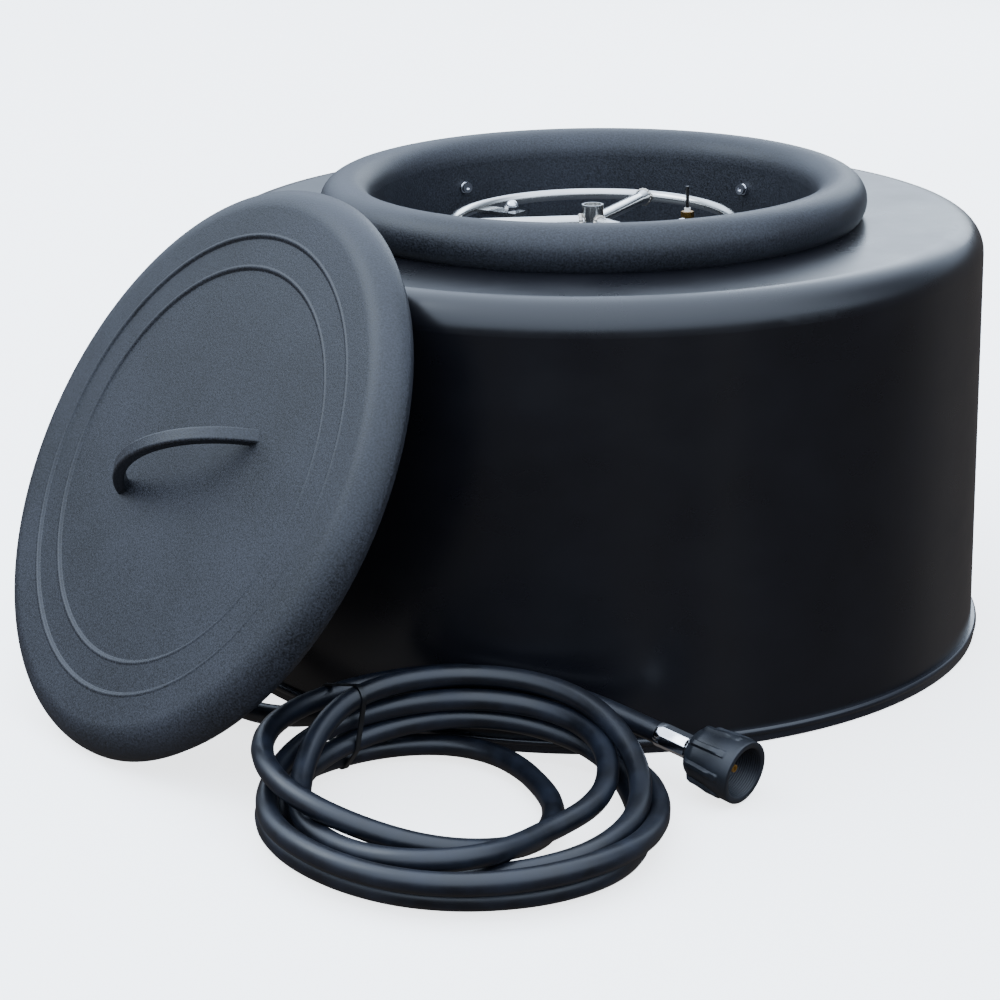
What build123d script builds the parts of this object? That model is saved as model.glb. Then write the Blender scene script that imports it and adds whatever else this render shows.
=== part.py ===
"""Portable round gas fire pit: drum, fire bowl with ring burner, lift-off lid, and gas hose.

Millimetres, +Z up. The origin is on the drum's axis at floor level, and the front is -Y.
The lid leans on the drum's shoulder, and the hose lies coiled on the floor at the front.
"""
import os
from math import asin, cos, degrees, pi, radians, sin, tan

from build123d import *

os.makedirs("parts", exist_ok=True)

# Drum: a deep-drawn steel cover that stands open side down on a rolled foot
drum_r = 305.0
drum_top_z = 331.8
shoulder_r = 24.4
sheet = 1.6
foot_r = 309.0
foot_in_r = 301.0
foot_h = 10.6

# Air slots through the wall at the back
vent_angles = (60.0, 75.0, 90.0, 105.0, 120.0)
vent_z = 60.0

# Fire bowl with its fat rolled rim, which is also the drum's collar
rim_mid_r = 194.4
rim_tube_r = 19.9
rim_z = 345.3
bowl_r = rim_mid_r - rim_tube_r
bowl_floor_z = 290.0
bowl_sheet = 1.5
bowl_screw_z = 326.5
bowl_screw_angles = (44.6, 127.5, 232.0, 307.5)

# Burner: a ring of polished tube on three arms and a hub
ring_r = 110.0
ring_z = 325.8
ring_tube_r = 4.6
hub_r = 8.5
hub_top_z = 339.6
arm_angles = (66.5, 186.5, 306.5)
stud_angles = (147.0, 252.0, 334.0)
stud_r = 77.0
electrode_xy = (76.0, 45.0)

# Control side, behind the leaning lid; angles are counter-clockwise from +X
inlet_angle = 192.0
knob_angle = 172.0
igniter_angle = 160.0
control_z = 150.0
inlet_z = 34.0
elbow_r = 335.0

# Lid: shallow pressed disc with two stepped rings and a bow handle
lid_r = 220.3
lid_depth = 27.0
lid_edge_r = 21.5
lid_hem_in = 3.3
lid_step_r = (177.5, 153.0)
lid_step = 1.5
step_run = 2.2
lid_sheet = 1.5
lean_angle = radians(53.9)
lean_tilt = radians(30.66)
lid_centre = Vector(-297.3, -237.3, 200.7)
handle_half_span = 77.0
handle_rise = 34.0
handle_turn = 28.3

# Hose and its tank connector
hose_r = 7.9
coil_x, coil_y = -97.0, -440.0
connector_start = Vector(45.7, -353.0, 34.3)
connector_angle = -39.3
connector_dip = 8.1
wheel_r = 23.8
wheel_len = 42.0
wheel_back = 33.2



def save(part, name):
    """Label a finished sub-part and write it under its own name."""
    part.label = name
    export_step(part, f"parts/{name}.step")


def spoke_plane(angle, radius, height):
    """A plane facing outwards along a spoke of the drum, with local X level and local Y up."""
    out = Vector(cos(radians(angle)), sin(radians(angle)), 0)
    level = Vector(-sin(radians(angle)), cos(radians(angle)), 0)
    return Plane(origin=out * radius + Vector(0, 0, height), x_dir=level, z_dir=out)


stud_spots = [(stud_r * cos(radians(angle)), stud_r * sin(radians(angle))) for angle in stud_angles]

# Drum cover: side wall, rounded shoulder and top plate in one pressing
with BuildPart() as drum_shell:
    with BuildSketch(Plane.XZ):
        with BuildLine():
            Polyline((178, drum_top_z), (drum_r - shoulder_r, drum_top_z))
            RadiusArc((drum_r - shoulder_r, drum_top_z), (drum_r, drum_top_z - shoulder_r), shoulder_r)
            Polyline((drum_r, drum_top_z - shoulder_r), (drum_r, foot_h), (drum_r - sheet, foot_h),
                     (drum_r - sheet, drum_top_z - shoulder_r))
            RadiusArc((drum_r - sheet, drum_top_z - shoulder_r),
                      (drum_r - shoulder_r, drum_top_z - sheet), -(shoulder_r - sheet))
            Polyline((drum_r - shoulder_r, drum_top_z - sheet), (178, drum_top_z - sheet), (178, drum_top_z))
        make_face()
    revolve(axis=Axis.Z)
    for angle, height, hole_r in ((knob_angle, control_z, 7.0), (igniter_angle, control_z, 11.2),
                                  (inlet_angle, inlet_z, 7.2)):
        with BuildSketch(spoke_plane(angle, drum_r - 20, height)):
            Circle(hole_r)
        extrude(amount=40, mode=Mode.SUBTRACT)
    for angle in vent_angles:
        with BuildSketch(spoke_plane(angle, drum_r - 20, vent_z)):
            SlotOverall(40, 9)
        extrude(amount=40, mode=Mode.SUBTRACT)
save(drum_shell.part, "drum_shell")

# Foot: a rolled bead over a plain band, closing the drum's raw lower edge
with BuildPart() as foot_rim:
    with BuildSketch(Plane.XZ):
        with BuildLine():
            Polyline((foot_in_r, 0), (foot_r - 1.0, 0), (foot_r - 1.0, 5.2))
            RadiusArc((foot_r - 1.0, 5.2), (foot_r - 1.0, foot_h), -3.2)
            Polyline((foot_r - 1.0, foot_h), (foot_in_r, foot_h), (foot_in_r, 0))
        make_face()
    revolve(axis=Axis.Z)
save(foot_rim.part, "foot_rim")

# Base plate: a vented disc pressed inside the foot
with BuildPart() as base_plate:
    with BuildSketch(Plane.XY.offset(2.0)):
        Circle(foot_in_r)
        for ring in (110, 180, 250):
            with PolarLocations(ring, 12):
                SlotOverall(36, 8, mode=Mode.SUBTRACT)
        Circle(50, mode=Mode.SUBTRACT)
        with PolarLocations(285, 6, start_angle=15):
            Circle(2.1, mode=Mode.SUBTRACT)
    extrude(amount=2.0)
save(base_plate.part, "base_plate")

# Base brackets: six small angles that hold the base plate to the drum wall
with BuildPart() as base_brackets:
    for k in range(6):
        angle = 15 + 60 * k
        with BuildSketch(spoke_plane(angle, 274, 4.0)):
            with Locations((0, 1)):
                Rectangle(16, 2)
        extrude(amount=foot_in_r - 274 - 0.2)
        with BuildSketch(spoke_plane(angle, foot_in_r - 2.2, 4.0)):
            with Locations((0, 10)):
                Rectangle(16, 20)
        extrude(amount=2.0)
        with BuildSketch(Plane.XY.offset(3.9)):
            with Locations((285 * cos(radians(angle)), 285 * sin(radians(angle)))):
                Circle(2.1)
        extrude(amount=4, mode=Mode.SUBTRACT)
save(base_brackets.part, "base_brackets")

# Base screws: pan heads under the plate, into the brackets
with BuildPart() as base_screws:
    with PolarLocations(285, 6, start_angle=15):
        Cylinder(1.95, 6.0, align=(Align.CENTER, Align.CENTER, Align.MIN))
    with BuildSketch(Plane.XY.offset(0.5)):
        with PolarLocations(285, 6, start_angle=15):
            Circle(3.8)
    extrude(amount=1.5)
    with BuildSketch(Plane.XY.offset(-1)):
        Circle(400)
    extrude(amount=1.5, mode=Mode.SUBTRACT)
save(base_screws.part, "base_screws")

# Fire bowl: straight wall with a narrow turned-in foot, rolled over at the top into the fat rim
roll_end = -43.0
bowl_flange_r = bowl_r - 12.0
with BuildPart() as fire_bowl:
    with BuildSketch(Plane.XZ):
        with BuildLine():
            outer_end = (rim_mid_r + rim_tube_r * cos(radians(roll_end)), rim_z + rim_tube_r * sin(radians(roll_end)))
            inner_tube_r = rim_tube_r - bowl_sheet
            inner_end = (rim_mid_r + inner_tube_r * cos(radians(roll_end)),
                         rim_z + inner_tube_r * sin(radians(roll_end)))
            CenterArc((rim_mid_r, rim_z), rim_tube_r, roll_end, 180 - roll_end)
            CenterArc((rim_mid_r, rim_z), inner_tube_r, roll_end, 180 - roll_end)
            Line(outer_end, inner_end)
            flange_z = bowl_floor_z - bowl_sheet
            Polyline((bowl_r, rim_z), (bowl_r, flange_z), (bowl_flange_r, flange_z),
                     (bowl_flange_r, flange_z - bowl_sheet), (bowl_r + bowl_sheet, flange_z - bowl_sheet),
                     (bowl_r + bowl_sheet, rim_z))
        make_face()
    revolve(axis=Axis.Z)
    for angle in bowl_screw_angles:
        with BuildSketch(spoke_plane(angle, bowl_r - 5, bowl_screw_z)):
            Circle(2.6)
        extrude(amount=10, mode=Mode.SUBTRACT)
save(fire_bowl.part, "fire_bowl")

# Bowl floor: a loose disc on the bowl's foot, bored for the burner's studs, electrode and drains
with BuildPart() as bowl_floor:
    with BuildSketch(Plane.XY.offset(bowl_floor_z - bowl_sheet + 0.02)):
        Circle(bowl_r - 0.3)
        Circle(15, mode=Mode.SUBTRACT)
        with Locations(*stud_spots):
            Circle(3.2, mode=Mode.SUBTRACT)
        with PolarLocations(140, 8):
            Circle(4.0, mode=Mode.SUBTRACT)
        with Locations(electrode_xy):
            Circle(5.2, mode=Mode.SUBTRACT)
    extrude(amount=bowl_sheet - 0.04)
save(bowl_floor.part, "bowl_floor")

# Bowl brackets: four tabs welded under the edge of the drum's top plate, for the bowl screws
with BuildPart() as bowl_brackets:
    for angle in bowl_screw_angles:
        with BuildSketch(spoke_plane(angle, bowl_r + bowl_sheet + 2.0, bowl_screw_z)):
            with Locations((0, -5.3)):
                Rectangle(20, 17.9)
        extrude(amount=2.0)
        with BuildSketch(spoke_plane(angle, bowl_r, bowl_screw_z)):
            Circle(2.6)
        extrude(amount=10, mode=Mode.SUBTRACT)
save(bowl_brackets.part, "bowl_brackets")

# Bowl screws: bright pan heads inside the bowl, with a driver recess
with BuildPart() as bowl_screws:
    for angle in bowl_screw_angles:
        with BuildSketch(spoke_plane(angle, bowl_r - 1.9, bowl_screw_z)):
            Circle(2.4)
        extrude(amount=13.0)
        with BuildSketch(spoke_plane(angle, bowl_r - 4.6, bowl_screw_z)):
            Circle(4.3)
        extrude(amount=3.4)
        with BuildSketch(spoke_plane(angle, bowl_r - 4.7, bowl_screw_z)):
            Circle(1.7)
        extrude(amount=1.8, mode=Mode.SUBTRACT)
save(bowl_screws.part, "bowl_screws")

with BuildPart() as bowl_washers:
    for angle in bowl_screw_angles:
        with BuildSketch(spoke_plane(angle, bowl_r - 1.15, bowl_screw_z)):
            Circle(4.9)
            Circle(2.6, mode=Mode.SUBTRACT)
        extrude(amount=0.8)
save(bowl_washers.part, "bowl_washers")

with BuildPart() as bowl_nuts:
    for angle in bowl_screw_angles:
        with BuildSketch(spoke_plane(angle, bowl_r + bowl_sheet + 4.1, bowl_screw_z)):
            RegularPolygon(4.0, 6)
            Circle(2.45, mode=Mode.SUBTRACT)
        extrude(amount=3.8)
save(bowl_nuts.part, "bowl_nuts")

# Burner ring: bent tube with its gas ports underneath, and four facing in beside the electrode
with BuildPart() as burner_ring:
    with BuildSketch(Plane.XZ):
        with Locations((ring_r, ring_z)):
            Circle(ring_tube_r)
            Circle(ring_tube_r - 1.0, mode=Mode.SUBTRACT)
    revolve(axis=Axis.Z)
    for k in range(4):
        with BuildSketch(spoke_plane(31 + 1.6 * k, ring_r - 9, ring_z)):
            Circle(0.9)
        extrude(amount=8, mode=Mode.SUBTRACT)
    with BuildSketch(Plane.XY.offset(ring_z - 6)):
        with PolarLocations(ring_r, 30, start_angle=6):
            Circle(0.9)
    extrude(amount=4, mode=Mode.SUBTRACT)
save(burner_ring.part, "burner_ring")

# Burner hub: an open upright pipe that feeds the arms
with BuildPart() as burner_hub:
    with BuildSketch(Plane.XY.offset(300)):
        Circle(hub_r)
        Circle(hub_r - 1.6, mode=Mode.SUBTRACT)
    extrude(amount=hub_top_z - 300)
save(burner_hub.part, "burner_hub")

# Burner arms: tubes from the hub, flared where they are welded to the ring
arm_end = ring_r - ring_tube_r - 0.4
flare_len = 12.0
with BuildPart() as burner_arms:
    for angle in arm_angles:
        with BuildSketch(spoke_plane(angle, 5, ring_z)):
            Circle(5.2)
        extrude(amount=arm_end - flare_len - 5)
        with BuildSketch(spoke_plane(angle, arm_end - flare_len, ring_z)):
            Circle(5.2)
        extrude(amount=flare_len, taper=-7)
    with BuildSketch(Plane.XY.offset(ring_z - 10)):
        Circle(hub_r + 0.05)
    extrude(amount=20, mode=Mode.SUBTRACT)
    for angle in arm_angles:
        with BuildSketch(spoke_plane(angle, 2, ring_z)):
            Circle(4.0)
        extrude(amount=arm_end - flare_len, mode=Mode.SUBTRACT)
save(burner_arms.part, "burner_arms")

# Hub plug: recessed cap with a small vent
with BuildPart() as hub_plug:
    with BuildSketch(Plane.XY.offset(hub_top_z - 5.5)):
        Circle(hub_r - 1.65)
        Circle(1.5, mode=Mode.SUBTRACT)
    extrude(amount=2.5)
save(hub_plug.part, "hub_plug")

# Burner tabs: flat lugs welded inside the ring, each bored for a stud
with BuildPart() as burner_tabs:
    for angle in stud_angles:
        with BuildSketch(spoke_plane(angle, stud_r - 8, ring_z - 1.5)):
            Rectangle(16, 3.0)
        extrude(amount=ring_r - ring_tube_r - stud_r + 8.0)
        with BuildSketch(Plane.XY.offset(ring_z - 5)):
            with Locations(*stud_spots):
                Circle(3.2)
        extrude(amount=8, mode=Mode.SUBTRACT)
    with BuildSketch(Plane.XZ):
        with Locations((ring_r, ring_z)):
            Circle(ring_tube_r + 0.05)
    revolve(axis=Axis.Z, mode=Mode.SUBTRACT)
save(burner_tabs.part, "burner_tabs")

# Burner studs: stand on the bowl floor and carry the tabs
with BuildPart() as burner_studs:
    with BuildSketch(Plane.XY.offset(bowl_floor_z - 9)):
        with Locations(*stud_spots):
            Circle(3.0)
    extrude(amount=ring_z + 6 - bowl_floor_z + 9)
    with BuildSketch(Plane.XY.offset(bowl_floor_z)):
        with Locations(*stud_spots):
            Circle(6.0)
    extrude(amount=ring_z - 3.1 - bowl_floor_z)
save(burner_studs.part, "burner_studs")

with BuildPart() as stud_nuts:
    with BuildSketch(Plane.XY.offset(bowl_floor_z - bowl_sheet - 5.1)):
        with Locations(*stud_spots):
            RegularPolygon(5.6, 6)
            Circle(3.05, mode=Mode.SUBTRACT)
    extrude(amount=5.0)
save(stud_nuts.part, "stud_nuts")

# Acorn nuts: bright domed nuts on top of the tabs
with BuildPart() as acorn_nuts:
    with BuildSketch(Plane.XY.offset(ring_z + 0.05)):
        with Locations(*stud_spots):
            RegularPolygon(5.8, 6)
    extrude(amount=4.2)
    with Locations(*[(x, y, ring_z + 4.2) for x, y in stud_spots]):
        Sphere(5.0)
    with BuildSketch(Plane.XY.offset(ring_z - 3)):
        with Locations(*stud_spots):
            Circle(5.95)
    extrude(amount=3.05, mode=Mode.SUBTRACT)
    with BuildSketch(Plane.XY.offset(ring_z - 3)):
        with Locations(*stud_spots):
            Circle(3.05)
    extrude(amount=9.2, mode=Mode.SUBTRACT)
save(acorn_nuts.part, "acorn_nuts")

# Mixing tube: brings gas and air up into the hub through the bowl's floor
with BuildPart() as mixing_tube:
    with BuildSketch(Plane.XY.offset(215)):
        Circle(11.0)
        Circle(9.4, mode=Mode.SUBTRACT)
    extrude(amount=88)
    with BuildSketch(Plane.XY.offset(303)):
        Circle(11.0)
        Circle(hub_r + 0.05, mode=Mode.SUBTRACT)
    extrude(amount=6)
    for k in range(2):
        with BuildSketch(spoke_plane(90 * k, -15, 232)):
            SlotOverall(22, 9, rotation=90)
        extrude(amount=30, mode=Mode.SUBTRACT)
save(mixing_tube.part, "mixing_tube")

with BuildPart() as mixer_locknut:
    with BuildSketch(Plane.XY.offset(bowl_floor_z - bowl_sheet - 8.1)):
        RegularPolygon(17, 6)
        Circle(11.05, mode=Mode.SUBTRACT)
    extrude(amount=8)
save(mixer_locknut.part, "mixer_locknut")

# Gas jet: brass orifice fitting in the foot of the mixing tube
with BuildPart() as gas_jet:
    with BuildSketch(Plane.XY.offset(196)):
        RegularPolygon(9.3, 6)
    extrude(amount=19)
    with BuildSketch(Plane.XY.offset(215)):
        Circle(9.3)
    extrude(amount=5)
    with BuildSketch(Plane.XY.offset(220)):
        Circle(4)
    extrude(amount=5)
    with BuildSketch(Plane.XY.offset(195)):
        Circle(0.8)
    extrude(amount=40, mode=Mode.SUBTRACT)
    with BuildSketch(Plane.XY.offset(195)):
        Circle(4.05)
    extrude(amount=13, mode=Mode.SUBTRACT)
save(gas_jet.part, "gas_jet")

# Control parts sit on one spoke of the drum's wall
wall_in = drum_r - sheet
knob_plane = spoke_plane(knob_angle, 0, control_z)
knob_dir = knob_plane.z_dir

with BuildPart() as control_bezel:
    with BuildSketch(spoke_plane(knob_angle, drum_r + 1.2, control_z)):
        Circle(30)
        Circle(6.6, mode=Mode.SUBTRACT)
    extrude(amount=2.2)
    fillet(control_bezel.edges().filter_by(GeomType.CIRCLE).sort_by(SortBy.RADIUS)[-1], 0.8)
save(control_bezel.part, "control_bezel")

# Bezel seat: a saddle washer between the curved wall and the flat bezel
with BuildPart() as bezel_seat:
    with BuildSketch(spoke_plane(knob_angle, drum_r - 4, control_z)):
        Circle(24)
        Circle(6.6, mode=Mode.SUBTRACT)
    extrude(amount=5.15)
    Cylinder(drum_r + 0.05, 800, mode=Mode.SUBTRACT)
save(bezel_seat.part, "bezel_seat")

with BuildPart() as gas_valve:
    with BuildSketch(spoke_plane(knob_angle, wall_in - 46, control_z)):
        RectangleRounded(30, 34, 4)
    extrude(amount=38)
    with BuildSketch(spoke_plane(knob_angle, wall_in - 8, control_z)):
        Circle(11)
    extrude(amount=6.8)
    with BuildSketch(spoke_plane(knob_angle, wall_in - 1.2, control_z)):
        Circle(6.4)
    extrude(amount=sheet + 2.4)
    with BuildSketch(spoke_plane(knob_angle, wall_in - 30, control_z)):
        Circle(4.05)
    extrude(amount=60, mode=Mode.SUBTRACT)
save(gas_valve.part, "gas_valve")

with BuildPart() as valve_stem:
    with BuildSketch(spoke_plane(knob_angle, wall_in - 29, control_z)):
        Circle(4.0)
    extrude(amount=29 + sheet + 3.8)
    with BuildSketch(spoke_plane(knob_angle, drum_r + 3.8, control_z)):
        Circle(4.0)
        with Locations((0, 6.6)):
            Rectangle(10, 8, mode=Mode.SUBTRACT)
    extrude(amount=15.2)
save(valve_stem.part, "valve_stem")

# Control knob: round skirt with a grip bar and a pointer line
with BuildPart() as control_knob:
    with BuildSketch(spoke_plane(knob_angle, drum_r + 4.2, control_z)):
        Circle(22)
    extrude(amount=8)
    fillet(control_knob.faces().filter_by(GeomType.PLANE).sort_by(Axis((0, 0, 0), knob_dir))[-1].edges(), 2.5)
    with BuildSketch(spoke_plane(knob_angle, drum_r + 11, control_z)):
        RectangleRounded(11, 40, 4)
    extrude(amount=15)
    with BuildSketch(spoke_plane(knob_angle, drum_r + 4.2, control_z)):
        Circle(4.0)
        with Locations((0, 6.6)):
            Rectangle(10, 8, mode=Mode.SUBTRACT)
    extrude(amount=14.9, mode=Mode.SUBTRACT)
    with BuildSketch(spoke_plane(knob_angle, drum_r + 25.4, control_z)):
        with Locations((0, 12)):
            Rectangle(1.6, 14)
    extrude(amount=1, mode=Mode.SUBTRACT)
save(control_knob.part, "control_knob")

# Spark igniter: threaded barrel through the wall, a nut inside, and a sprung button
with BuildPart() as igniter_body:
    with BuildSketch(spoke_plane(igniter_angle, wall_in - 58, control_z)):
        Circle(10.9)
    extrude(amount=58 + sheet + 2.6)
    with BuildSketch(spoke_plane(igniter_angle, drum_r + 1.0, control_z)):
        Circle(15)
    extrude(amount=3.0)
    with BuildSketch(spoke_plane(igniter_angle, wall_in - 30, control_z)):
        Circle(8.6)
    extrude(amount=50, mode=Mode.SUBTRACT)
save(igniter_body.part, "igniter_body")

with BuildPart() as igniter_nut:
    with BuildSketch(spoke_plane(igniter_angle, wall_in - 8, control_z)):
        RegularPolygon(16, 6)
        Circle(10.95, mode=Mode.SUBTRACT)
    extrude(amount=7.4)
save(igniter_nut.part, "igniter_nut")

with BuildPart() as igniter_button:
    with BuildSketch(spoke_plane(igniter_angle, wall_in - 12, control_z)):
        Circle(8.5)
    extrude(amount=12 + sheet + 12)
    fillet(igniter_button.faces().filter_by(GeomType.PLANE)
           .sort_by(Axis((0, 0, 0), spoke_plane(igniter_angle, 0, 0).z_dir))[-1].edges(), 2.0)
save(igniter_button.part, "igniter_button")

# Button spring: a short coil between the barrel's floor and the button
with BuildPart() as igniter_spring:
    with BuildLine() as spring_line:
        Helix(3.4, 16.8, 5.5, center=spoke_plane(igniter_angle, wall_in - 29.4, control_z).origin,
              direction=spoke_plane(igniter_angle, 0, 0).z_dir)
    with BuildSketch(Plane(origin=spring_line.line @ 0, z_dir=spring_line.line % 0)):
        Circle(0.5)
    sweep(is_frenet=True)
save(igniter_spring.part, "igniter_spring")

# Regulator: round diaphragm housing with its inlet and outlet bosses
reg_plane = spoke_plane(inlet_angle, 0, inlet_z)
reg_centre = reg_plane.z_dir * 225 + Vector(0, 0, 60)
with BuildPart() as gas_regulator:
    with BuildSketch(Plane(origin=(reg_centre.X, reg_centre.Y, 44))):
        Circle(30)
    extrude(amount=16)
    with BuildSketch(Plane(origin=(reg_centre.X, reg_centre.Y, 60))):
        Circle(33)
    extrude(amount=4)
    with BuildSketch(Plane(origin=(reg_centre.X, reg_centre.Y, 64))):
        Circle(28)
    extrude(amount=14, taper=18)
    with BuildSketch(spoke_plane(inlet_angle, 232, 54)):
        Circle(8)
    extrude(amount=30)
    with BuildSketch(spoke_plane(inlet_angle, 232, 54)):
        Circle(4.05)
    extrude(amount=34, mode=Mode.SUBTRACT)
save(gas_regulator.part, "gas_regulator")

def pipe(points, radius, bend, bore=0.0):
    """A bent metal pipe along straight runs joined by tangent arcs of one bend radius."""
    with BuildPart() as bent:
        with BuildLine() as route:
            FilletPolyline(*points, radius=bend)
        start_plane = Plane(origin=route.line @ 0, z_dir=route.line % 0)
        with BuildSketch(start_plane):
            Circle(radius)
            if bore:
                Circle(bore, mode=Mode.SUBTRACT)
        sweep()
    return bent.part


# Inlet: bulkhead pipe through the wall, its locknut, an outside elbow, and the pipe to the regulator
inlet_plane = spoke_plane(inlet_angle, 0, inlet_z)
inlet_out = inlet_plane.z_dir
inlet_fore = inlet_plane.x_dir
elbow = inlet_out * elbow_r + Vector(0, 0, inlet_z)

with BuildPart() as inlet_bulkhead:
    with BuildSketch(spoke_plane(inlet_angle, wall_in - 22, inlet_z)):
        Circle(7.0)
    extrude(amount=22 + sheet + 20)
    with BuildSketch(spoke_plane(inlet_angle, drum_r + 1.0, inlet_z)):
        RegularPolygon(13, 6)
    extrude(amount=7)
    with BuildSketch(spoke_plane(inlet_angle, wall_in - 23, inlet_z)):
        Circle(3.6)
    extrude(amount=60, mode=Mode.SUBTRACT)
save(inlet_bulkhead.part, "inlet_bulkhead")

with BuildPart() as inlet_locknut:
    with BuildSketch(spoke_plane(inlet_angle, wall_in - 8.6, inlet_z)):
        RegularPolygon(13, 6)
        Circle(7.05, mode=Mode.SUBTRACT)
    extrude(amount=7.2)
save(inlet_locknut.part, "inlet_locknut")

with BuildPart() as inlet_elbow:
    with BuildSketch(spoke_plane(inlet_angle, drum_r + 8.1, inlet_z)):
        Circle(10.5)
    extrude(amount=elbow_r - drum_r - 8.1)
    with Locations(elbow):
        Sphere(10.5)
    with BuildSketch(Plane(origin=elbow, z_dir=inlet_fore)):
        Circle(9.0)
    extrude(amount=18)
    with BuildSketch(spoke_plane(inlet_angle, drum_r + 7, inlet_z)):
        Circle(7.05)
    extrude(amount=13.2, mode=Mode.SUBTRACT)
save(inlet_elbow.part, "inlet_elbow")

# Swivel nut that draws the hose's end on to the elbow
with BuildPart() as hose_swivel_nut:
    with BuildSketch(Plane(origin=elbow + inlet_fore * 18.1, z_dir=inlet_fore)):
        RegularPolygon(11.5, 6)
    extrude(amount=16)
    chamfer(hose_swivel_nut.faces().sort_by(Axis((0, 0, 0), inlet_fore))[-1].edges(), 1.5)
save(hose_swivel_nut.part, "hose_swivel_nut")

with BuildPart() as inlet_ferrule:
    with BuildSketch(Plane(origin=elbow + inlet_fore * 34.2, z_dir=inlet_fore)):
        Circle(9.2)
    extrude(amount=27.8)
    with BuildSketch(Plane(origin=elbow + inlet_fore * 44.2, z_dir=inlet_fore)):
        Circle(hose_r)
    extrude(amount=20, mode=Mode.SUBTRACT)
save(inlet_ferrule.part, "inlet_ferrule")

reg_to_wall = inlet_out * 252.0 + Vector(0, 0, 54.0)
save(pipe([reg_to_wall, inlet_out * 268 + Vector(0, 0, 54), inlet_out * 268 + Vector(0, 0, inlet_z),
           inlet_out * (wall_in - 14) + Vector(0, 0, inlet_z)], 3.5, 8.0, 2.5), "inlet_pipe")

# Supply pipe: regulator up to the valve's inlet
valve_inlet = knob_dir * (wall_in - 27) + Vector(0, 0, control_z - 17.1)
reg_out = reg_centre + Vector(0, 0, 18.1)
save(pipe([reg_out, Vector(reg_out.X, reg_out.Y, 112), Vector(valve_inlet.X, valve_inlet.Y, 112), valve_inlet],
          4.0, 14.0, 3.0), "supply_pipe")

# Feed pipe: valve's outlet up and over to the jet
valve_outlet = knob_dir * (wall_in - 34) + Vector(0, 0, control_z + 17.1)
save(pipe([valve_outlet, Vector(valve_outlet.X, valve_outlet.Y, 188), Vector(0, 0, 188), Vector(0, 0, 207)],
          4.0, 8.0, 3.0), "feed_pipe")

# Spark electrode: brass body through the bowl's floor, white ceramic sleeve, wire tip, and its nut
electrode = Vector(electrode_xy[0], electrode_xy[1], 0)
with BuildPart() as electrode_body:
    with BuildSketch(Plane(origin=electrode + Vector(0, 0, bowl_floor_z + 27.5))):
        RegularPolygon(5.3, 6)
    extrude(amount=6.5)
    with BuildSketch(Plane(origin=electrode + Vector(0, 0, bowl_floor_z - 12))):
        Circle(4.9)
    extrude(amount=39.5)
    with BuildSketch(Plane(origin=electrode + Vector(0, 0, bowl_floor_z + 0.05))):
        RegularPolygon(8.0, 6)
    extrude(amount=6)
    with BuildSketch(Plane(origin=electrode + Vector(0, 0, bowl_floor_z - 13))):
        Circle(2.65)
    extrude(amount=60, mode=Mode.SUBTRACT)
save(electrode_body.part, "electrode_body")

with BuildPart() as electrode_nut:
    with BuildSketch(Plane(origin=electrode + Vector(0, 0, bowl_floor_z - bowl_sheet - 5.1))):
        RegularPolygon(8.0, 6)
        Circle(4.95, mode=Mode.SUBTRACT)
    extrude(amount=5)
save(electrode_nut.part, "electrode_nut")

with BuildPart() as electrode_ceramic:
    with BuildSketch(Plane(origin=electrode + Vector(0, 0, bowl_floor_z - 20))):
        Circle(2.6)
        Circle(1.35, mode=Mode.SUBTRACT)
    extrude(amount=57)
save(electrode_ceramic.part, "electrode_ceramic")

with BuildPart() as electrode_rod:
    with BuildSketch(Plane(origin=electrode + Vector(0, 0, bowl_floor_z - 26))):
        Circle(1.34)
    extrude(amount=80.4)
save(electrode_rod.part, "electrode_rod")

# Ignition lead: insulated wire from the igniter up to the electrode
igniter_dir = spoke_plane(igniter_angle, 0, 0).z_dir
lead_start = igniter_dir * (wall_in - 58.1) + Vector(0, 0, control_z)
lead_end = electrode + Vector(0, 0, bowl_floor_z - 26.1)
save(pipe([lead_start, igniter_dir * 215 + Vector(0, 0, control_z), igniter_dir * 150 + Vector(0, 0, 240),
           Vector(lead_end.X, lead_end.Y, 240), lead_end], 1.8, 16.0), "ignition_lead")

# Lid: its frame follows from how far it leans and which way
lean_out = Vector(-sin(lean_angle), -cos(lean_angle), 0)
lid_level = Vector(cos(lean_angle), -sin(lean_angle), 0)
lid_normal = lean_out * cos(lean_tilt) + Vector(0, 0, sin(lean_tilt))
lid_up = lid_normal.cross(lid_level)
lid_plane = Plane(origin=lid_centre, x_dir=lid_level, z_dir=lid_normal)
lid_section = Plane(origin=lid_centre, x_dir=lid_level, z_dir=lid_level.cross(lid_normal))
lid_axis = Axis(lid_centre, lid_normal)


def lid_skin(face_y, edge_r, outer_r, down_y):
    """Draw one skin of the lid from its middle to its hem, stepping down at each ring."""
    flat_r = outer_r - edge_r
    step_y = face_y
    for ring in lid_step_r:
        Line((flat_r if ring == lid_step_r[0] else lid_step_r[0] - step_run, step_y), (ring, step_y))
        Line((ring, step_y), (ring - step_run, step_y - lid_step))
        step_y -= lid_step
    Line((lid_step_r[-1] - step_run, step_y), (0, step_y))
    RadiusArc((flat_r, face_y), (outer_r, face_y - edge_r), edge_r)
    Line((outer_r, face_y - edge_r), (outer_r - lid_hem_in, down_y))


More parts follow.
